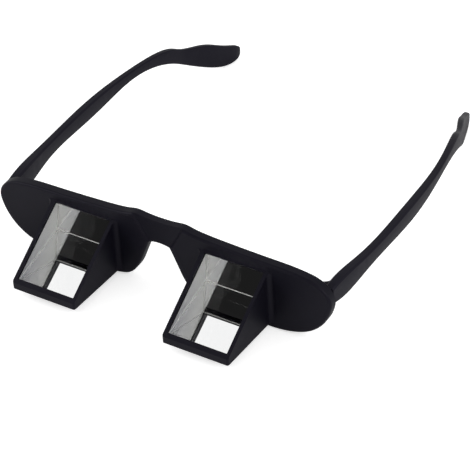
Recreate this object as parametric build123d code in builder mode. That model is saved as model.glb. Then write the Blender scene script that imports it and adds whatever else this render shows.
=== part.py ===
from build123d import *
import os
from math import radians, tan

# Prism bed glasses: a flat moulded front with two wedge housings, each holding a glass
# prism that turns the wearer's line of sight by about 60 degrees, and two folding temples.
# X runs along the front, +Y towards the ears, +Z up. Z is zero on the surface that the
# glasses stand on, and X and Y are zero at the middle of the whole object.
# Left and right are the wearer's, so left is +X. The left pieces are modelled, and the
# right ones mirror them. Depths are measured back from the front face of the front.

# Front
prism_pitch = 64.0
lobe_reach = 37.9
front_height = 30.4
front_thick = 4.0
front_edge = 1.0
rear_edge = 0.4
bridge_drop = 9.5
bridge_rise = 0.6
notch_half = 4.2
notch_corner = 1.4
recess_depth = 0.7
recess_slope = 45.0
crease_top_half = 10.7
crease_foot_half = 5.4

# Ends of the tangent arcs that make the outline of half the front, from the middle of the
# top edge round the lobe to the nose notch: shares of the half width and of the height
outline_shares = (
    (0.063, 1.005),
    (0.117, 1.020),
    (0.170, 1.014),
    (0.237, 0.985),
    (0.345, 0.966),
    (0.713, 0.939),
    (0.871, 0.907),
    (0.966, 0.805),
    (1.001, 0.572),
    (0.950, 0.299),
    (0.810, 0.061),
    (0.638, 0.001),
    (0.342, 0.010),
    (0.236, 0.043),
    (0.173, 0.139),
    (0.120, 0.351),
    (0.069, 0.633),
)

# Prism housings
housing_wall = 1.4
housing_reach = 28.8
rim_level = 25.3
floor_level = 2.5
floor_tilt = 4.0
nose_height = 2.8
nose_edge = 0.6
nose_corner = 1.5
root_radius = 1.8

# Prisms, their silvered undersides and their retainers. A prism stands nearly level on
# its underside and leans a little towards its nose.
prism_width = 24.0
prism_lean = 0.8
nose_wall = 1.9
nose_lip = 0.2
corner_depth = 1.95
corner_level = 7.5
window_level = 24.08
prism_nose_height = 0.5
prism_clearance = 0.1
prism_bevel = 0.2
mirror_thick = 0.3
mirror_margin = 0.3
cement_gap = 0.04
retainer_proud = 0.6
retainer_border = 0.7
retainer_edge = 0.3
eye_flare = 30.0

# Temples
temple_reach = 142.0
temple_bow = 1.6
temple_thick = 3.5
temple_height = 6.7
temple_level = 20.0
temple_edge = 0.6
end_gap = 0.15
end_inset = 0.9
block_width = 6.1
block_depth = 2.6
block_height = 6.0
flare_radius = 4.0
flare_sink = 0.4

# Sections of a temple behind its front end: share of the reach, then the outer face as
# a share of the outset, the middle as a share of the temple's level, and the height and
# the thickness as shares of those at the front
section_shares = (
    (0.176, 0.988, 1.008, 1.04, 1.00),
    (0.352, 1.000, 1.006, 0.98, 0.94),
    (0.528, 0.990, 1.016, 0.78, 0.86),
    (0.669, 0.953, 1.005, 0.66, 0.78),
    (0.775, 0.903, 0.816, 1.05, 0.74),
    (0.859, 0.842, 0.520, 1.51, 0.74),
    (0.922, 0.793, 0.314, 1.55, 0.72),
    (0.970, 0.762, 0.205, 1.16, 0.66),
    (0.991, 0.750, 0.190, 0.76, 0.54),
    (1.000, 0.744, 0.190, 0.34, 0.34),
)

# Hinges
knuckle_radius = 1.4
knuckle_count = 5
knuckle_gap = 0.1
knuckle_stack = 5.6
hinge_clearance = 0.25
leaf_thick = 1.0
leaf_length = 9.0
leaf_corner = 0.8
tongue_thick = 1.0
tongue_length = 3.9
tongue_fit = 0.05

# Screws of the hinges and of their leaves
hinge_screw_radius = 0.7
running_fit = 0.04
hinge_head_radius = 1.1
hinge_head_height = 0.5
slot_width = 0.3
slot_depth = 0.25
leaf_screw_radius = 0.5
leaf_screw_head = 0.95
leaf_screw_length = 3.0
leaf_screw_pitch = 4.2
leaf_screw_inset = 2.2
leaf_screw_fit = 0.03
countersink_angle = 90.0

# Cuts run past the faces that they open by this much
overrun = 3.0

# Places worked out from the sizes above
front_y = (housing_reach - temple_reach) / 2
front_plane = Plane(origin=(0, front_y, 0), x_dir=(1, 0, 0), z_dir=(0, -1, 0))
prism_x = prism_pitch / 2
side_plane = Plane.YZ.offset(prism_x)
pocket_width = prism_width + 2 * prism_clearance
housing_width = pocket_width + 2 * housing_wall
front_half = prism_x + lobe_reach
bridge_level = front_height - bridge_drop
prism_nose = housing_reach - nose_wall
window_reach = prism_nose - nose_lip
temple_outset = front_half + temple_bow
block_outset = front_half - end_inset
block_inner = block_outset - block_width
hinge_x = block_inner - hinge_clearance - knuckle_radius
hinge_y = front_y + front_thick + hinge_clearance + knuckle_radius
knuckle_height = (knuckle_stack - (knuckle_count - 1) * knuckle_gap) / knuckle_count
stack_base = temple_level - knuckle_stack / 2
knuckle_bases = [stack_base + i * (knuckle_height + knuckle_gap) for i in range(knuckle_count)]
leaf_end = hinge_x - knuckle_radius - hinge_clearance
leaf_face = front_y + front_thick + leaf_thick


def at(depth, level):
    """A point of a side view: depth back from the front face, height above the table."""
    return (front_y + depth, level)


def risen(depth):
    """Height of the housing's underside, which rises towards the nose."""
    return floor_level - depth * floor_slope


def leaned(level, depth):
    """Height of a face along the prism's underside, from its level at the rear corner."""
    return level - (corner_depth - depth) * lean_slope


def rim(depth):
    """Height of the housing's sloping rim."""
    return rim_level + depth * rim_slope


def window(depth):
    """Height of the prism's window face."""
    return window_level + depth * window_slope


def flared(level, depth):
    """Height of a face that rises backwards from the prism's apex, over the eye opening."""
    return level + (depth - apex_depth) * tan(radians(eye_flare))


# Slopes of the rim and the window, which both end a set height over their underside
floor_slope = tan(radians(floor_tilt))
lean_slope = tan(radians(prism_lean))
rim_slope = (rim_level - nose_height - risen(-housing_reach)) / housing_reach
window_fall = window_level - prism_nose_height - leaned(corner_level, -prism_nose)
window_slope = window_fall / prism_nose

# Corners of the prism's side view, which has a right angle at the lower rear corner
corner = (corner_depth, corner_level)
apex_depth = (corner_depth - (window_level - corner_level) * lean_slope) / (
    1 + window_slope * lean_slope
)
apex = (apex_depth, window(apex_depth))
nose_top = (-prism_nose, window(-prism_nose))
nose_foot = (-prism_nose, leaned(corner_level, -prism_nose))

# One wedge housing, solid: its side view crossed with its plan
with BuildPart() as housing_side:
    with BuildSketch(side_plane) as side_view:
        with BuildLine():
            Polyline(
                at(front_thick / 2, rim(front_thick / 2)),
                at(-housing_reach, rim(-housing_reach)),
                at(-housing_reach, risen(-housing_reach)),
                at(front_thick / 2, risen(front_thick / 2)),
                close=True,
            )
        make_face()
        fillet(side_view.vertices().group_by(Axis.Y)[0], nose_edge)
    extrude(amount=housing_width / 2 + 2 * root_radius, both=True)

with BuildPart() as housing:
    with BuildSketch(Plane.XY.offset(-overrun)) as plan_view:
        with Locations((prism_x, front_y + (front_thick / 2 - housing_reach) / 2)):
            Rectangle(housing_width, housing_reach + front_thick / 2)
        with Locations((prism_x, front_y + front_thick / 4)):
            Rectangle(housing_width + 3 * root_radius, front_thick / 2)
        roots = plan_view.vertices().group_by(Axis.Y)[1].sort_by(Axis.X)[1:3]
        noses = plan_view.vertices().group_by(Axis.Y)[0]
        fillet(roots, root_radius)
        fillet(noses, nose_corner)
    extrude(amount=front_height + 2 * overrun)
    add(housing_side.part, mode=Mode.INTERSECT)

# What is cut out of a housing: the prism's cavity, open to the rear, and the window
mirror_top = corner_level - cement_gap
cavity_floor = mirror_top - mirror_thick
cavity_nose = -prism_nose - prism_clearance
pocket_top = apex[1] + prism_clearance

with BuildPart() as cavity:
    with BuildSketch(side_plane):
        with BuildLine():
            Polyline(
                at(cavity_nose, leaned(cavity_floor, cavity_nose)),
                at(cavity_nose, window(cavity_nose) + prism_clearance),
                at(apex_depth, pocket_top),
                at(front_thick + overrun, flared(pocket_top, front_thick + overrun)),
                at(front_thick + overrun, cavity_floor),
                at(corner_depth, cavity_floor),
                close=True,
            )
        make_face()
    extrude(amount=pocket_width / 2, both=True)
    lift = (-overrun * window_slope, overrun)
    with BuildSketch(side_plane):
        with BuildLine():
            Polyline(
                at(-window_reach, window(-window_reach)),
                at(lift[0] - window_reach, window(-window_reach) + lift[1]),
                at(lift[0], window_level + lift[1]),
                at(0, window_level),
                close=True,
            )
        make_face()
    extrude(amount=pocket_width / 2, both=True)

# Blind holes in the back of the front for the screws of the hinge leaves
screw_plane = Plane(origin=(0, leaf_face, 0), x_dir=(-1, 0, 0), z_dir=(0, 1, 0))
leaf_free_end = leaf_end - leaf_length
leaf_screw_places = [
    (-leaf_free_end - leaf_screw_inset - i * leaf_screw_pitch, temple_level) for i in range(2)
]

with BuildPart() as pilot_holes:
    with BuildSketch(screw_plane):
        with Locations(leaf_screw_places):
            Circle(leaf_screw_radius + leaf_screw_fit)
    extrude(amount=-leaf_screw_length - leaf_screw_fit)

# Front with bridge, lobes and both housings, moulded in one piece
with BuildPart() as front_frame:
    notch_point = (notch_half, bridge_level - bridge_rise)
    arc_ends = [(x * front_half, z * front_height) for x, z in outline_shares]
    with BuildSketch(front_plane) as front_view:
        with BuildLine():
            start = (0, front_height)
            heading = (1, 0)
            for end in (*arc_ends, notch_point):
                arc = TangentArc(start, end, tangent=heading)
                start = end
                heading = arc % 1
            TangentArc((0, bridge_level), notch_point, tangent=(1, 0))
            Line((0, bridge_level), (0, front_height))
        make_face()
        inner_corners = front_view.vertices().filter_by_position(Axis.X, 0, notch_half)
        fillet(inner_corners.sort_by(Axis.X)[-1], notch_corner)
    extrude(amount=-front_thick)
    fore_face, rear_face = front_frame.faces().filter_by(Axis.Y).sort_by(Axis.Y)
    fillet(fore_face.edges().sort_by(Axis.X)[1:], front_edge)
    chamfer(rear_face.edges().sort_by(Axis.X)[1:], rear_edge)
    mirror(about=Plane.YZ)
    crease_slope = (crease_top_half - crease_foot_half) / bridge_drop
    crease_top = (crease_top_half + overrun * crease_slope, front_height + overrun)
    crease_foot = (crease_foot_half - overrun * crease_slope, bridge_level - overrun)
    with BuildSketch(front_plane):
        with BuildLine():
            Line(crease_top, crease_foot)
            mirror(about=Plane.YZ)
            Line(crease_top, (-crease_top[0], crease_top[1]))
            Line(crease_foot, (-crease_foot[0], crease_foot[1]))
        make_face()
    extrude(amount=-recess_depth, taper=recess_slope, mode=Mode.SUBTRACT)
    add(housing.part)
    mirror(housing.part, about=Plane.YZ)
    add(cavity.part, mode=Mode.SUBTRACT)
    mirror(cavity.part, about=Plane.YZ, mode=Mode.SUBTRACT)
    add(pilot_holes.part, mode=Mode.SUBTRACT)
    mirror(pilot_holes.part, about=Plane.YZ, mode=Mode.SUBTRACT)

# Glass prism, bevelled along every edge but those of its thin nose
with BuildPart() as prism:
    with BuildSketch(side_plane):
        with BuildLine():
            Polyline(at(*corner), at(*apex), at(*nose_top), at(*nose_foot), close=True)
        make_face()
    extrude(amount=prism_width / 2, both=True)
    chamfer(prism.edges() - prism.faces().sort_by(Axis.Y)[0].edges(), prism_bevel)

# Silvered strip under the prism
with BuildPart() as prism_mirror:
    strip_nose = mirror_margin - prism_nose
    strip_rear = corner_depth - mirror_margin
    with BuildSketch(side_plane):
        with BuildLine():
            Polyline(
                at(strip_nose, leaned(cavity_floor, strip_nose)),
                at(strip_nose, leaned(mirror_top, strip_nose)),
                at(strip_rear, leaned(mirror_top, strip_rear)),
                at(strip_rear, leaned(cavity_floor, strip_rear)),
                close=True,
            )
        make_face()
    extrude(amount=prism_width / 2 - mirror_margin, both=True)

# Frame that holds the prism from the rear, round the eye window, which flares upwards
with BuildPart() as prism_retainer:
    retainer_rear = front_thick + retainer_proud
    opening_rear = retainer_rear + overrun
    opening_top = apex[1] - retainer_border
    opening_foot = corner_level + retainer_border
    with BuildSketch(side_plane):
        with BuildLine():
            Polyline(
                at(apex_depth + cement_gap, apex[1]),
                at(retainer_rear, flared(apex[1], retainer_rear)),
                at(retainer_rear, corner_level),
                at(corner_depth + cement_gap, corner_level),
                close=True,
            )
        make_face()
    extrude(amount=prism_width / 2, both=True)
    chamfer(prism_retainer.faces().sort_by(Axis.Y)[-1].edges(), retainer_edge)
    with BuildSketch(side_plane):
        with BuildLine():
            Polyline(
                at(apex_depth, opening_top),
                at(opening_rear, flared(opening_top, opening_rear)),
                at(opening_rear, opening_foot),
                at(apex_depth, opening_foot),
                close=True,
            )
        make_face()
    extrude(amount=prism_width / 2 - retainer_border, both=True, mode=Mode.SUBTRACT)

# Temple: a lofted arm, with a block inside its front end that holds the hinge's tongue
tongue_base = knuckle_bases[1]
tongue_height = knuckle_bases[3] + knuckle_height - knuckle_bases[1]
tongue_plane = Plane(
    origin=(block_inner, hinge_y, tongue_base + tongue_height / 2), x_dir=(0, 1, 0), z_dir=(1, 0, 0)
)
start_y = front_y + front_thick + end_gap
start_share = (front_thick + end_gap) / temple_reach
start_section = (start_share, block_outset / temple_outset, 1.0, 1.0, 1.0)

with BuildPart() as temple:
    for reach, outset, level, height, thick in (start_section, *section_shares):
        middle = (
            outset * temple_outset - thick * temple_thick / 2,
            front_y + reach * temple_reach,
            level * temple_level,
        )
        with BuildSketch(Plane(origin=middle, x_dir=(1, 0, 0), z_dir=(0, 1, 0))) as section:
            Rectangle(thick * temple_thick, height * temple_height)
            chamfer(section.vertices(), thick * temple_edge)
    loft()
    flare_start = (block_inner, start_y + block_depth)
    flare_end = (
        block_outset - temple_thick + flare_sink,
        start_y + block_depth + flare_radius,
    )
    with BuildSketch(Plane.XY.offset(temple_level - block_height / 2)):
        with BuildLine():
            RadiusArc(flare_start, flare_end, -flare_radius)
            Polyline(
                flare_end,
                (block_outset - temple_thick / 2, flare_end[1]),
                (block_outset - temple_thick / 2, start_y),
                (block_inner, start_y),
                flare_start,
            )
        make_face()
    extrude(amount=block_height)
    with BuildSketch(tongue_plane):
        Rectangle(tongue_thick + 2 * tongue_fit, tongue_height + 2 * tongue_fit)
    extrude(amount=tongue_length + tongue_fit, mode=Mode.SUBTRACT)

# Leaf of a hinge on the back of the front, with every other knuckle
with BuildPart() as front_hinge:
    with BuildSketch(screw_plane):
        with Locations((-(leaf_free_end + leaf_end) / 2, temple_level)):
            leaf_outline = Rectangle(leaf_length, knuckle_stack)
        fillet(leaf_outline.vertices().group_by(Axis.X)[0], leaf_corner)
    extrude(amount=-leaf_thick)
    for base in knuckle_bases[::2]:
        with BuildSketch(Plane.XY.offset(base)):
            with Locations((hinge_x, hinge_y)):
                Circle(knuckle_radius)
            with Locations(((leaf_end + hinge_x) / 2, leaf_face - leaf_thick / 2)):
                Rectangle(hinge_x - leaf_end, leaf_thick)
        extrude(amount=knuckle_height)
    with BuildSketch(Plane.XY.offset(stack_base)):
        with Locations((hinge_x, hinge_y)):
            Circle(hinge_screw_radius + running_fit)
    extrude(amount=knuckle_stack, mode=Mode.SUBTRACT)
    with Locations(screw_plane):
        with Locations(*leaf_screw_places):
            CounterSinkHole(
                leaf_screw_radius + leaf_screw_fit,
                leaf_screw_head + leaf_screw_fit,
                depth=leaf_thick,
                counter_sink_angle=countersink_angle,
            )

# Knuckles on the temple's side of a hinge, with the tongue that the temple is moulded round
with BuildPart() as temple_hinge:
    with BuildSketch(tongue_plane):
        Rectangle(tongue_thick, tongue_height)
    extrude(amount=tongue_length)
    for base in knuckle_bases[1::2]:
        with BuildSketch(Plane.XY.offset(base)):
            with Locations((hinge_x, hinge_y)):
                Circle(knuckle_radius)
            with Locations(((hinge_x + block_inner) / 2, hinge_y)):
                Rectangle(block_inner - hinge_x, tongue_thick)
        extrude(amount=knuckle_height)
    with BuildSketch(Plane.XY.offset(stack_base)):
        with Locations((hinge_x, hinge_y)):
            Circle(hinge_screw_radius + running_fit)
    extrude(amount=knuckle_stack, mode=Mode.SUBTRACT)

# Screw on which a temple turns
with BuildPart() as hinge_screw:
    with BuildSketch(Plane.XY.offset(stack_base)):
        with Locations((hinge_x, hinge_y)):
            Circle(hinge_screw_radius)
    extrude(amount=knuckle_stack)
    head_top = stack_base + knuckle_stack + hinge_head_height
    with BuildSketch(Plane.XY.offset(head_top)):
        with Locations((hinge_x, hinge_y)):
            Circle(hinge_head_radius)
    extrude(amount=-hinge_head_height)
    with BuildSketch(Plane.XY.offset(head_top)):
        with Locations((hinge_x, hinge_y)):
            Rectangle(2 * hinge_head_radius, slot_width)
    extrude(amount=-slot_depth, mode=Mode.SUBTRACT)

# Countersunk screws that hold a leaf to the front
with BuildPart() as leaf_screws:
    sink = (leaf_screw_head - leaf_screw_radius) / tan(radians(countersink_angle / 2))
    with Locations(screw_plane):
        with Locations(*leaf_screw_places):
            with Locations((0, 0, -leaf_screw_length / 2)):
                Cylinder(leaf_screw_radius, leaf_screw_length)
            with Locations((0, 0, -sink / 2)):
                Cone(leaf_screw_radius, leaf_screw_head, sink)
    with BuildSketch(screw_plane):
        with Locations(leaf_screw_places):
            Rectangle(slot_width, 2 * leaf_screw_head)
    extrude(amount=-slot_depth, mode=Mode.SUBTRACT)

# The front is one piece, and the others come in a left and a right one
os.makedirs("parts", exist_ok=True)
front_frame.part.label = "front_frame"
export_step(front_frame.part, "parts/front_frame.step")

side_pieces = {
    "prism": prism,
    "prism_mirror": prism_mirror,
    "prism_retainer": prism_retainer,
    "temple": temple,
    "front_hinge": front_hinge,
    "temple_hinge": temple_hinge,
    "hinge_screw": hinge_screw,
    "leaf_screws": leaf_screws,
}
for name, piece in side_pieces.items():
    piece.part.label = f"{name}_left"
    export_step(piece.part, f"parts/{name}_left.step")
    with BuildPart() as twin:
        mirror(piece.part, about=Plane.YZ)
    twin.part.label = f"{name}_right"
    export_step(twin.part, f"parts/{name}_right.step")
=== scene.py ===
from math import cos, radians, sin

import bmesh
import bpy
from bpy.props import FloatProperty, FloatVectorProperty, PointerProperty
from bpy.types import Operator, Panel, PropertyGroup
from mathutils import Matrix, Vector


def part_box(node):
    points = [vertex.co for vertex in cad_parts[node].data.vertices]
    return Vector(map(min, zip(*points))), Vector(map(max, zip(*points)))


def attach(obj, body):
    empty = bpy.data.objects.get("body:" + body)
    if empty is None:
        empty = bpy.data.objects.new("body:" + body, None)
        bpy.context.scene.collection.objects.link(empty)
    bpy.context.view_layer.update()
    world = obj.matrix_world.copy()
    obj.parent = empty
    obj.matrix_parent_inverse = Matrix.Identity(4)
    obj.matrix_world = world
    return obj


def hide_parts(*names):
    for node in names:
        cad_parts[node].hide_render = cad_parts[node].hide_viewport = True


bl_info = {
    "name": "Prism Bed Glasses",
    "version": (1, 0, 0),
    "blender": (4, 5, 0),
    "location": "3D View > Sidebar > Prism Glasses",
    "description": "Dresses a pair of prism bed glasses and sets up their studio",
    "category": "Object",
}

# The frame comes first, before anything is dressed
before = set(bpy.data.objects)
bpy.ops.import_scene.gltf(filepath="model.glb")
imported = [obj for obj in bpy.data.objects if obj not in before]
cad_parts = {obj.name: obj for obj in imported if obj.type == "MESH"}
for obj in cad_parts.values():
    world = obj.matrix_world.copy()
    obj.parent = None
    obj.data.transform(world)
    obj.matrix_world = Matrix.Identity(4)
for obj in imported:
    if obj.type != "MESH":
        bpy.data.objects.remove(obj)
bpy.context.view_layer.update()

MM = 0.001
X, Y, Z = range(3)
WHITE = (1.0, 1.0, 1.0, 1.0)

# Left and right pieces are the wearer's; left and right of the studio are the camera's
SIDES = ("left", "right")


# Fixed sizes of the shapes

# Corners of the frame's loose triangles that lie closer than this are one corner
WELD_GAP = 0.001 * MM
# A corner that lies closer than this to the plane of the noses is in it
NOSE_GAP = 0.01 * MM
# An edge runs along an axis if it covers at least this share of its length there
ALONG_SHARE = 0.99
# A face that looks along X by less than this share is not a side of the prism
SIDEWAYS_SHARE = 0.01
# A prism's face no larger than a strip of this height across it is a ground bevel
BEVEL_STRIP = 5 * MM
# Triangles that meet at less than this angle are one flat face
FLAT_ANGLE = radians(1.0)
# Above the first angle an edge stays sharp in the shading, above the second it is rounded
SHARP_ANGLE = radians(30.0)
SOFTENED_ANGLE = radians(35.0)
CORNER_SEGMENTS = 4
EDGE_SEGMENTS = 3

# The order of a prism's materials
POLISHED, GROUND_SIDE, GROUND_BEVEL = range(3)


# Fixed values of the finishes

# The patches are noise of this scale to the metre, which fades in between the two limits
PATCH_SCALE = 60.0
PATCH_DETAIL = 4.0
PATCH_LOW, PATCH_HIGH = 0.35, 0.75
GRAIN_DETAIL = 3.0

# Roughness lies between the value given and that value plus the spread
PLASTIC_SPREAD = 0.1
GROUND_FINISH = dict(roughness=0.6, spread=0.1, grain=0.2 * MM, depth=0.004 * MM)
SILVER_FINISH = dict(roughness=0.0, spread=0.0, grain=2.0 * MM, depth=0.0)
HINGE_FINISH = dict(roughness=0.28, spread=0.15, grain=0.12 * MM, depth=0.003 * MM)
SCREW_FINISH = dict(roughness=0.2, spread=0.15, grain=0.12 * MM, depth=0.003 * MM)

# Patches of a surface, as a share of its colour or as a colour of their own
STEEL_BLOOM_SHARE = 0.86
BEVEL_BLOOM_SHARE = 0.96
SILVER_BLOOM = (0.86, 0.87, 0.87, 1.0)

# Colour of the plastic's reflections, which are slightly violet
PLASTIC_GLINT = (0.88, 0.86, 1.0, 1.0)

FLOOR_ROUGHNESS = 0.8
FLOOR_SHEEN = 0.2


# Fixed values of the studio, with places and widths in metres

# Brightness of the dark screen, where 1 is white
SCREEN_LIGHT = 0.012

CLIP_START, CLIP_END = 0.05, 50.0
LAMP_AIM = (0.0, 0.0, 0.0)
KEY_PLACE = (-0.95, -0.75, 0.75)
KEY_WIDTH = 0.5
FILL_PLACE = (0.9, -0.2, 0.6)
FILL_WIDTH = 0.6


# Sizes and colours that a user may change


class PlasticSettings(PropertyGroup):
    """Black moulded plastic of the front, the retainers and the temples."""

    colour: FloatVectorProperty(
        name="Colour",
        description="Colour of the black plastic",
        subtype="COLOR",
        size=4,
        default=(0.0034, 0.0030, 0.0064, 1.0),
    )
    bloom: FloatVectorProperty(
        name="Bloom",
        description="Colour of the faintly paler patches of the moulding",
        subtype="COLOR",
        size=4,
        default=(0.0050, 0.0045, 0.0084, 1.0),
    )
    temple_colour: FloatVectorProperty(
        name="Temple Colour",
        description="Colour of the temples, a little paler than the front",
        subtype="COLOR",
        size=4,
        default=(0.0056, 0.0050, 0.0096, 1.0),
    )
    temple_bloom: FloatVectorProperty(
        name="Temple Bloom",
        description="Colour of the faintly paler patches of the temples",
        subtype="COLOR",
        size=4,
        default=(0.0078, 0.0071, 0.0120, 1.0),
    )
    roughness: FloatProperty(
        name="Roughness",
        description="Mean roughness of the satin surface",
        default=0.46,
        min=0.0,
        max=1.0,
    )
    sheen: FloatProperty(
        name="Sheen",
        description="Strength of the plastic's reflections",
        default=0.14,
        min=0.0,
        max=1.0,
    )
    front_edge: FloatProperty(
        name="Front Edge",
        description="Width of the soft edges of the front and its housings",
        default=0.25 * MM,
        precision=5,
        unit="LENGTH",
    )
    nose_corner: FloatProperty(
        name="Nose Corner",
        description="Size of the rounded upright corners of the housings' noses",
        default=0.8 * MM,
        precision=5,
        unit="LENGTH",
    )
    temple_edge: FloatProperty(
        name="Temple Edge",
        description="Width of the soft edges of the temples",
        default=0.3 * MM,
        precision=5,
        unit="LENGTH",
    )
    grain: FloatProperty(
        name="Grain",
        description="Size of the fine spark-eroded grain of the mould",
        default=0.35 * MM,
        precision=5,
        unit="LENGTH",
    )
    grain_depth: FloatProperty(
        name="Grain Depth",
        description="Depth of the fine grain",
        default=0.006 * MM,
        precision=6,
        unit="LENGTH",
    )


class GlassSettings(PropertyGroup):
    """Prisms with polished faces, ground sides and silvered undersides."""

    index: FloatProperty(
        name="Refractive Index",
        description="Refractive index of barium crown glass",
        default=1.56,
        min=1.0,
        max=2.5,
    )
    tint: FloatVectorProperty(
        name="Tint",
        description="Faint tint of the glass",
        subtype="COLOR",
        size=4,
        default=(0.99, 0.995, 0.995, 1.0),
    )
    ground_colour: FloatVectorProperty(
        name="Ground Colour",
        description="Colour of the finely ground sides at the rear, and of the ground bevels",
        subtype="COLOR",
        size=4,
        default=(0.98, 0.98, 0.95, 1.0),
    )
    # Painted shade: the ground sides are coloured darker, greyer and bluer at the prisms' thin
    # front end, standing in for the weaker light that reaches that end inside the prism
    ground_nose_painted_shade: FloatVectorProperty(
        name="Ground Nose Painted Shade",
        description="Colour of the finely ground sides at the prisms' thin front end",
        subtype="COLOR",
        size=4,
        default=(0.52, 0.52, 0.57, 1.0),
    )
    silver_colour: FloatVectorProperty(
        name="Silver Colour",
        description="Colour of the silvering under the prisms",
        subtype="COLOR",
        size=4,
        default=(0.90, 0.91, 0.91, 1.0),
    )


class MetalSettings(PropertyGroup):
    """Steel of the hinges and the screws."""

    hinge_colour: FloatVectorProperty(
        name="Hinge Colour",
        description="Colour of the satin steel hinges",
        subtype="COLOR",
        size=4,
        default=(0.50, 0.50, 0.51, 1.0),
    )
    screw_colour: FloatVectorProperty(
        name="Screw Colour",
        description="Colour of the turned screws",
        subtype="COLOR",
        size=4,
        default=(0.60, 0.60, 0.61, 1.0),
    )


class StudioSettings(PropertyGroup):
    """Camera, floor, lamps and surroundings."""

    azimuth: FloatProperty(
        name="Azimuth",
        description="Direction of the camera round the glasses",
        default=radians(33.38),
        subtype="ANGLE",
    )
    elevation: FloatProperty(
        name="Elevation",
        description="Angle of the camera over the floor",
        default=radians(38.33),
        subtype="ANGLE",
    )
    roll: FloatProperty(
        name="Roll",
        description="Turn of the camera about its own line of sight",
        default=radians(-3.80),
        subtype="ANGLE",
    )
    distance: FloatProperty(
        name="Distance",
        description="Distance from the camera to its target",
        default=823.7 * MM,
        unit="LENGTH",
    )
    target: FloatVectorProperty(
        name="Target",
        description="Point that the camera looks at",
        default=(5.0 * MM, -14.3 * MM, -2.9 * MM),
        subtype="TRANSLATION",
        unit="LENGTH",
    )
    focal_length: FloatProperty(
        name="Focal Length",
        description="Focal length of the camera's lens in millimetres",
        default=168.5,
        min=10.0,
    )
    floor_size: FloatProperty(
        name="Floor Size",
        description="Width of the pale floor",
        default=6.0,
        unit="LENGTH",
    )
    floor_colour: FloatVectorProperty(
        name="Floor Colour",
        description="Colour of the pale floor",
        subtype="COLOR",
        size=4,
        default=(0.86, 0.86, 0.86, 1.0),
    )
    floor_lift: FloatProperty(
        name="Floor Lift",
        description="White added to the floor where it is seen directly or through glass",
        default=0.55,
        min=0.0,
        max=1.0,
    )
    key_power: FloatProperty(
        name="Key Power",
        description="Power of the soft lamp at the left",
        default=6.5,
        unit="POWER",
    )
    fill_power: FloatProperty(
        name="Fill Power",
        description="Power of the weaker lamp at the right",
        default=3.8,
        unit="POWER",
    )
    ambient: FloatProperty(
        name="Ambient",
        description="Strength of the even light from all round",
        default=0.70,
        min=0.0,
    )
    screen_way: FloatVectorProperty(
        name="Screen Direction",
        description="Direction in which glass and reflections show a dark screen",
        default=(-0.43, -0.52, 0.74),
    )
    screen_angle: FloatProperty(
        name="Screen Angle",
        description="Half the width of the dark screen",
        default=radians(27.0),
        subtype="ANGLE",
    )
    screen_fade: FloatProperty(
        name="Screen Fade",
        description="Width of the soft edge of the dark screen",
        default=radians(8.0),
        subtype="ANGLE",
    )


# Nodes of materials


def new_material(name):
    material = bpy.data.materials.new(name)
    material.use_nodes = True
    tree = material.node_tree
    shader = next(n for n in tree.nodes if n.type == "BSDF_PRINCIPLED")
    return material, tree, shader


def add_node(tree, kind, **values):
    """Adds a node and sets its properties, or its input sockets where a name has one."""
    node = tree.nodes.new(kind)
    for name, value in values.items():
        if hasattr(node, name):
            setattr(node, name, value)
        else:
            node.inputs[name.replace("_", " ")].default_value = value
    return node


def moulded_surface_group():
    """Colour patches, roughness and fine grain of plastic, ground glass, silver and steel."""
    group = bpy.data.node_groups.get("moulded_surface")
    if group:
        return group
    group = bpy.data.node_groups.new("moulded_surface", "ShaderNodeTree")
    face = group.interface
    face.new_socket("Colour", in_out="INPUT", socket_type="NodeSocketColor")
    face.new_socket("Bloom", in_out="INPUT", socket_type="NodeSocketColor")
    for name in ("Roughness", "Spread", "Grain Scale", "Depth"):
        face.new_socket(name, in_out="INPUT", socket_type="NodeSocketFloat")
    face.new_socket("Colour", in_out="OUTPUT", socket_type="NodeSocketColor")
    face.new_socket("Roughness", in_out="OUTPUT", socket_type="NodeSocketFloat")
    face.new_socket("Normal", in_out="OUTPUT", socket_type="NodeSocketVector")
    link = group.links.new
    given = group.nodes.new("NodeGroupInput")
    made = group.nodes.new("NodeGroupOutput")
    place = add_node(group, "ShaderNodeTexCoord")
    patches = add_node(group, "ShaderNodeTexNoise", Scale=PATCH_SCALE, Detail=PATCH_DETAIL)
    grain = add_node(group, "ShaderNodeTexNoise", Detail=GRAIN_DETAIL)
    mix = add_node(group, "ShaderNodeMix", data_type="RGBA")
    ramp = add_node(group, "ShaderNodeMapRange", From_Min=PATCH_LOW, From_Max=PATCH_HIGH)
    rough = add_node(group, "ShaderNodeMath", operation="MULTIPLY_ADD")
    bump = add_node(group, "ShaderNodeBump", Strength=1.0)
    link(place.outputs["Object"], patches.inputs["Vector"])
    link(place.outputs["Object"], grain.inputs["Vector"])
    link(given.outputs["Grain Scale"], grain.inputs["Scale"])
    link(patches.outputs["Fac"], ramp.inputs["Value"])
    link(ramp.outputs["Result"], mix.inputs["Factor"])
    link(given.outputs["Colour"], mix.inputs["A"])
    link(given.outputs["Bloom"], mix.inputs["B"])
    link(grain.outputs["Fac"], rough.inputs[0])
    link(given.outputs["Spread"], rough.inputs[1])
    link(given.outputs["Roughness"], rough.inputs[2])
    link(grain.outputs["Fac"], bump.inputs["Height"])
    link(given.outputs["Depth"], bump.inputs["Distance"])
    link(mix.outputs["Result"], made.inputs["Colour"])
    link(rough.outputs["Value"], made.inputs["Roughness"])
    link(bump.outputs["Normal"], made.inputs["Normal"])
    return group


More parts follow.
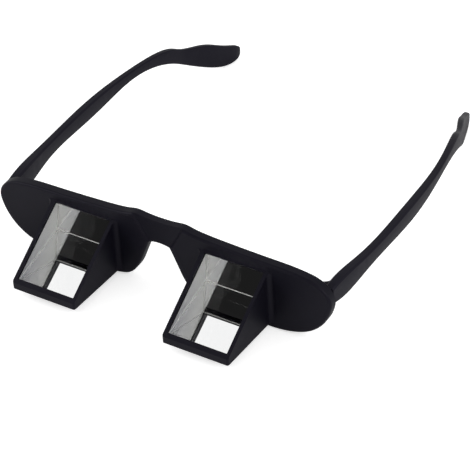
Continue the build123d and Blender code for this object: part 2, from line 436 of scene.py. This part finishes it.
def add_surface(tree, shader, colour, bloom, roughness, spread, grain, depth):
    """Places the moulded surface group in a material and joins it to the shader."""
    group = tree.nodes.new("ShaderNodeGroup")
    group.node_tree = moulded_surface_group()
    group.inputs["Colour"].default_value = colour
    group.inputs["Bloom"].default_value = bloom
    group.inputs["Roughness"].default_value = roughness
    group.inputs["Spread"].default_value = spread
    group.inputs["Grain Scale"].default_value = 1.0 / grain
    group.inputs["Depth"].default_value = depth
    tree.links.new(group.outputs["Colour"], shader.inputs["Base Color"])
    tree.links.new(group.outputs["Roughness"], shader.inputs["Roughness"])
    tree.links.new(group.outputs["Normal"], shader.inputs["Normal"])
    return group


def dimmed(colour, share):
    """A colour at a share of its brightness, and still opaque."""
    return tuple(share * part for part in colour[:3]) + (1.0,)


def black_plastic(name, settings, colour, bloom):
    material, tree, shader = new_material(name)
    add_surface(
        tree,
        shader,
        colour,
        bloom,
        roughness=settings.roughness - PLASTIC_SPREAD / 2,
        spread=PLASTIC_SPREAD,
        grain=settings.grain,
        depth=settings.grain_depth,
    )
    shader.inputs["Specular IOR Level"].default_value = settings.sheen
    shader.inputs["Specular Tint"].default_value = PLASTIC_GLINT
    return material


def polished_glass(settings):
    material, tree, shader = new_material("polished_prism_glass")
    shader.inputs["Base Color"].default_value = settings.tint
    shader.inputs["Roughness"].default_value = 0.0
    shader.inputs["IOR"].default_value = settings.index
    shader.inputs["Transmission Weight"].default_value = 1.0
    return material


def ground_edges(settings):
    """Finely ground bevels along the edges of the prisms."""
    material, tree, shader = new_material("ground_prism_edges")
    bloom = dimmed(settings.ground_colour, BEVEL_BLOOM_SHARE)
    add_surface(tree, shader, settings.ground_colour, bloom, **GROUND_FINISH)
    return material


def ground_glass(settings):
    """Finely ground sides, with painted shade that makes them greyer and bluer towards the
    prisms' thin front end.
    """
    material, tree, shader = new_material("ground_prism_sides")
    colour = settings.ground_colour
    surface = add_surface(tree, shader, colour, colour, **GROUND_FINISH)
    low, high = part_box("prism_left")
    place = add_node(tree, "ShaderNodeTexCoord")
    split = add_node(tree, "ShaderNodeSeparateXYZ")
    depth = add_node(tree, "ShaderNodeMapRange", From_Min=low[Y], From_Max=high[Y])
    # Painted shade: the colour darkens from the rear of the prism to its thin front end
    shade = add_node(tree, "ShaderNodeMix", data_type="RGBA")
    shade.inputs["A"].default_value = settings.ground_nose_painted_shade
    shade.inputs["B"].default_value = colour
    tree.links.new(place.outputs["Object"], split.inputs["Vector"])
    tree.links.new(split.outputs["Y"], depth.inputs["Value"])
    tree.links.new(depth.outputs["Result"], shade.inputs["Factor"])
    tree.links.new(shade.outputs["Result"], surface.inputs["Colour"])
    tree.links.new(shade.outputs["Result"], surface.inputs["Bloom"])
    return material


def silvering(settings):
    material, tree, shader = new_material("prism_silvering")
    add_surface(tree, shader, settings.silver_colour, SILVER_BLOOM, **SILVER_FINISH)
    shader.inputs["Metallic"].default_value = 1.0
    return material


def satin_steel(name, colour, finish):
    material, tree, shader = new_material(name)
    add_surface(tree, shader, colour, dimmed(colour, STEEL_BLOOM_SHARE), **finish)
    shader.inputs["Metallic"].default_value = 1.0
    return material


# Shapes


def runs_along(edge, axis):
    start, end = (vert.co for vert in edge.verts)
    return abs(start[axis] - end[axis]) > ALONG_SHARE * edge.calc_length()


def is_nose_corner(edge, nose):
    """Tells the upright edges in the plane of the noses, which lies at the given Y."""
    return runs_along(edge, Z) and max(vert.co.y for vert in edge.verts) < nose + NOSE_GAP


def welded_shape(node):
    """A copy of a node's loose triangles, joined into one shell."""
    shape = bmesh.new()
    shape.from_mesh(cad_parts[node].data)
    bmesh.ops.remove_doubles(shape, verts=shape.verts, dist=WELD_GAP)
    return shape


def finished_mesh(name, shape, *materials):
    """A mesh of the finished shape, with its materials in the order given."""
    mesh = bpy.data.meshes.new(name)
    shape.to_mesh(mesh)
    shape.free()
    for material in materials:
        mesh.materials.append(material)
    return mesh


def add_object(context, data):
    """Puts a mesh, lamp or camera in the scene as an object of its own name."""
    thing = bpy.data.objects.new(data.name, data)
    context.scene.collection.objects.link(thing)
    return thing


def soften_edges(piece, radius):
    """Rounds the sharp edges of a piece, whose loose triangles are joined first."""
    weld = piece.modifiers.new("weld", "WELD")
    weld.merge_threshold = WELD_GAP
    bevel = piece.modifiers.new("soft_edges", "BEVEL")
    bevel.limit_method = "ANGLE"
    bevel.angle_limit = SOFTENED_ANGLE
    bevel.width = radius
    bevel.segments = EDGE_SEGMENTS
    bevel.profile = 0.5
    bevel.harden_normals = True


def dress(node, material):
    """Gives a node of the frame one material, also where a new piece hides it."""
    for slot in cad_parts[node].material_slots:
        slot.link = "OBJECT"
        slot.material = material


def make_front(context, material, settings):
    """The moulded front again, with rounded corners at the noses of its housings."""
    low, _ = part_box("front_frame")
    shape = welded_shape("front_frame")
    bmesh.ops.bevel(
        shape,
        geom=[edge for edge in shape.edges if is_nose_corner(edge, low[Y])],
        offset=settings.nose_corner,
        affect="EDGES",
        segments=CORNER_SEGMENTS,
        profile=0.5,
        material=-1,
    )
    for face in shape.faces:
        face.smooth = True
    mesh = finished_mesh("moulded_front", shape, material)
    mesh.set_sharp_from_angle(angle=SHARP_ANGLE)
    piece = add_object(context, mesh)
    soften_edges(piece, settings.front_edge)
    even = piece.modifiers.new("even_shading", "WEIGHTED_NORMAL")
    even.keep_sharp = True
    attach(piece, "front")
    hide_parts("front_frame")


def make_prism(context, side, polished, ground, edges):
    """A prism again, with its faces told apart as polished, as ground sides or as bevels."""
    shape = welded_shape(f"prism_{side}")
    bmesh.ops.dissolve_limit(
        shape, angle_limit=FLAT_ANGLE, verts=shape.verts, edges=shape.edges
    )
    across = max(edge.calc_length() for edge in shape.edges if runs_along(edge, X))
    for face in shape.faces:
        face.smooth = False
        if face.calc_area() <= across * BEVEL_STRIP:
            face.material_index = GROUND_BEVEL
        elif abs(face.normal.x) < SIDEWAYS_SHARE:
            face.material_index = POLISHED
        else:
            face.material_index = GROUND_SIDE
    mesh = finished_mesh(f"prism_glass_{side}", shape, polished, ground, edges)
    piece = add_object(context, mesh)
    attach(piece, "front")
    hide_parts(f"prism_{side}")


# The studio


def studio_world(settings):
    """White where it is seen directly, with a dark screen up at the left for glass and glints."""
    world = bpy.data.worlds.new("studio")
    world.use_nodes = True
    tree = world.node_tree
    link = tree.links.new
    background = next(n for n in tree.nodes if n.type == "BACKGROUND")
    background.inputs["Color"].default_value = WHITE
    path = add_node(tree, "ShaderNodeLightPath")
    way = add_node(tree, "ShaderNodeTexCoord")

    # The dark screen, by the angle between a ray and the screen's middle
    screen = add_node(tree, "ShaderNodeVectorMath", operation="DOT_PRODUCT")
    screen.inputs[1].default_value = Vector(settings.screen_way).normalized()
    depth = add_node(
        tree,
        "ShaderNodeMapRange",
        From_Min=cos(settings.screen_angle),
        From_Max=cos(settings.screen_angle + settings.screen_fade),
        To_Min=SCREEN_LIGHT,
        To_Max=1.0,
    )
    link(way.outputs["Generated"], screen.inputs[0])
    link(screen.outputs["Value"], depth.inputs["Value"])

    # The screen takes no light away from matt surfaces
    masked = add_node(tree, "ShaderNodeMix", data_type="FLOAT", B=1.0)
    link(path.outputs["Is Diffuse Ray"], masked.inputs["Factor"])
    link(depth.outputs["Result"], masked.inputs["A"])

    # Through glass the surroundings are white, and elsewhere they are as bright as set
    through = add_node(
        tree, "ShaderNodeMix", data_type="FLOAT", A=settings.ambient, B=1.0
    )
    link(path.outputs["Is Transmission Ray"], through.inputs["Factor"])
    screened = add_node(tree, "ShaderNodeMath", operation="MULTIPLY")
    link(through.outputs["Result"], screened.inputs[0])
    link(masked.outputs["Result"], screened.inputs[1])

    # The camera itself sees neither the screen nor the set brightness
    seen = add_node(tree, "ShaderNodeMix", data_type="FLOAT", B=1.0)
    link(path.outputs["Is Camera Ray"], seen.inputs["Factor"])
    link(screened.outputs["Value"], seen.inputs["A"])
    link(seen.outputs["Result"], background.inputs["Strength"])
    return world


def add_camera(context, settings):
    """A camera at its distance from the target, turned about its own line of sight."""
    azimuth, elevation = settings.azimuth, settings.elevation
    level = cos(elevation)
    back = Vector((sin(azimuth) * level, -cos(azimuth) * level, sin(elevation)))
    aim = (-back).to_track_quat("-Z", "Y").to_matrix()
    turn = aim @ Matrix.Rotation(settings.roll, 3, "Z")
    camera = bpy.data.cameras.new("camera")
    camera.lens = settings.focal_length
    camera.clip_start = CLIP_START
    camera.clip_end = CLIP_END
    holder = add_object(context, camera)
    holder.rotation_mode = "QUATERNION"
    holder.rotation_quaternion = turn.to_quaternion()
    holder.location = Vector(settings.target) + back * settings.distance
    context.scene.camera = holder


def floor_material(settings):
    """A pale floor that is lifted to white where it is seen directly or through glass."""
    material, tree, shader = new_material("pale_floor")
    shader.inputs["Base Color"].default_value = settings.floor_colour
    shader.inputs["Roughness"].default_value = FLOOR_ROUGHNESS
    shader.inputs["Specular IOR Level"].default_value = FLOOR_SHEEN
    shader.inputs["Emission Color"].default_value = WHITE
    path = add_node(tree, "ShaderNodeLightPath")
    seen = add_node(tree, "ShaderNodeMath", operation="MAXIMUM")
    strength = add_node(tree, "ShaderNodeMath", operation="MULTIPLY")
    strength.inputs[1].default_value = settings.floor_lift
    tree.links.new(path.outputs["Is Camera Ray"], seen.inputs[0])
    tree.links.new(path.outputs["Is Transmission Ray"], seen.inputs[1])
    tree.links.new(seen.outputs["Value"], strength.inputs[0])
    tree.links.new(strength.outputs["Value"], shader.inputs["Emission Strength"])
    return material


def add_floor(context, settings):
    shape = bmesh.new()
    bmesh.ops.create_grid(shape, x_segments=1, y_segments=1, size=settings.floor_size / 2)
    floor = add_object(context, finished_mesh("floor", shape, floor_material(settings)))


def add_lamp(context, name, place, width, power):
    """A square lamp that is turned towards the glasses."""
    lamp = bpy.data.lights.new(name, "AREA")
    lamp.shape = "RECTANGLE"
    lamp.size = lamp.size_y = width
    lamp.energy = power
    holder = add_object(context, lamp)
    holder.location = place
    holder.rotation_mode = "QUATERNION"
    way = Vector(LAMP_AIM) - Vector(place)
    holder.rotation_quaternion = way.to_track_quat("-Z", "Y")


# Operators, one for each group of like pieces and one for the studio


class PRISM_OT_plastic(Operator):
    """Dresses the front, the retainers and the temples in satin black plastic"""

    bl_idname = "prism_glasses.plastic"
    bl_label = "Dress Plastic"

    def execute(self, context):
        settings = context.scene.glasses_plastic
        front = black_plastic("front_plastic", settings, settings.colour, settings.bloom)
        temple = black_plastic(
            "temple_plastic", settings, settings.temple_colour, settings.temple_bloom
        )
        dress("front_frame", front)
        make_front(context, front, settings)
        for side in SIDES:
            dress(f"prism_retainer_{side}", front)
            dress(f"temple_{side}", temple)
            soften_edges(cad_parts[f"temple_{side}"], settings.temple_edge)
        return {"FINISHED"}


class PRISM_OT_glass(Operator):
    """Makes the prisms, with polished faces and ground sides, and their silvering"""

    bl_idname = "prism_glasses.glass"
    bl_label = "Make Prisms"

    def execute(self, context):
        settings = context.scene.glasses_glass
        polished = polished_glass(settings)
        ground = ground_glass(settings)
        edges = ground_edges(settings)
        silver = silvering(settings)
        for side in SIDES:
            make_prism(context, side, polished, ground, edges)
            dress(f"prism_{side}", polished)
            dress(f"prism_mirror_{side}", silver)
        return {"FINISHED"}


class PRISM_OT_metal(Operator):
    """Dresses the hinges and the screws in steel"""

    bl_idname = "prism_glasses.metal"
    bl_label = "Dress Hinges and Screws"

    def execute(self, context):
        settings = context.scene.glasses_metal
        hinge = satin_steel("satin_hinge_steel", settings.hinge_colour, HINGE_FINISH)
        screw = satin_steel("turned_screw_steel", settings.screw_colour, SCREW_FINISH)
        for side in SIDES:
            dress(f"front_hinge_{side}", hinge)
            dress(f"temple_hinge_{side}", hinge)
            dress(f"hinge_screw_{side}", screw)
            dress(f"leaf_screws_{side}", screw)
        return {"FINISHED"}


class PRISM_OT_studio(Operator):
    """Adds the surroundings, the camera, the pale floor and the lamps"""

    bl_idname = "prism_glasses.studio"
    bl_label = "Set Up Studio"

    def execute(self, context):
        settings = context.scene.glasses_studio
        context.scene.view_settings.view_transform = "Standard"
        context.scene.world = studio_world(settings)
        add_camera(context, settings)
        add_floor(context, settings)
        add_lamp(context, "key_lamp", KEY_PLACE, KEY_WIDTH, settings.key_power)
        add_lamp(context, "fill_lamp", FILL_PLACE, FILL_WIDTH, settings.fill_power)
        return {"FINISHED"}


class PRISM_PT_panel(Panel):
    """Buttons that make the glasses and their studio"""

    bl_idname = "PRISM_PT_panel"
    bl_label = "Prism Bed Glasses"
    bl_space_type = "VIEW_3D"
    bl_region_type = "UI"
    bl_category = "Prism Glasses"

    def draw(self, context):
        for made in OPERATORS:
            self.layout.operator(made.bl_idname)


OPERATORS = (PRISM_OT_plastic, PRISM_OT_glass, PRISM_OT_metal, PRISM_OT_studio)
SETTINGS = {
    "glasses_plastic": PlasticSettings,
    "glasses_glass": GlassSettings,
    "glasses_metal": MetalSettings,
    "glasses_studio": StudioSettings,
}


def register():
    for made in (*SETTINGS.values(), *OPERATORS, PRISM_PT_panel):
        bpy.utils.register_class(made)
    for name, made in SETTINGS.items():
        setattr(bpy.types.Scene, name, PointerProperty(type=made))


def unregister():
    for name in SETTINGS:
        delattr(bpy.types.Scene, name)
    for made in reversed((*SETTINGS.values(), *OPERATORS, PRISM_PT_panel)):
        bpy.utils.unregister_class(made)


def main():
    register()
    bpy.ops.prism_glasses.plastic()
    bpy.ops.prism_glasses.glass()
    bpy.ops.prism_glasses.metal()
    bpy.ops.prism_glasses.studio()


if __name__ == "__main__":
    main()
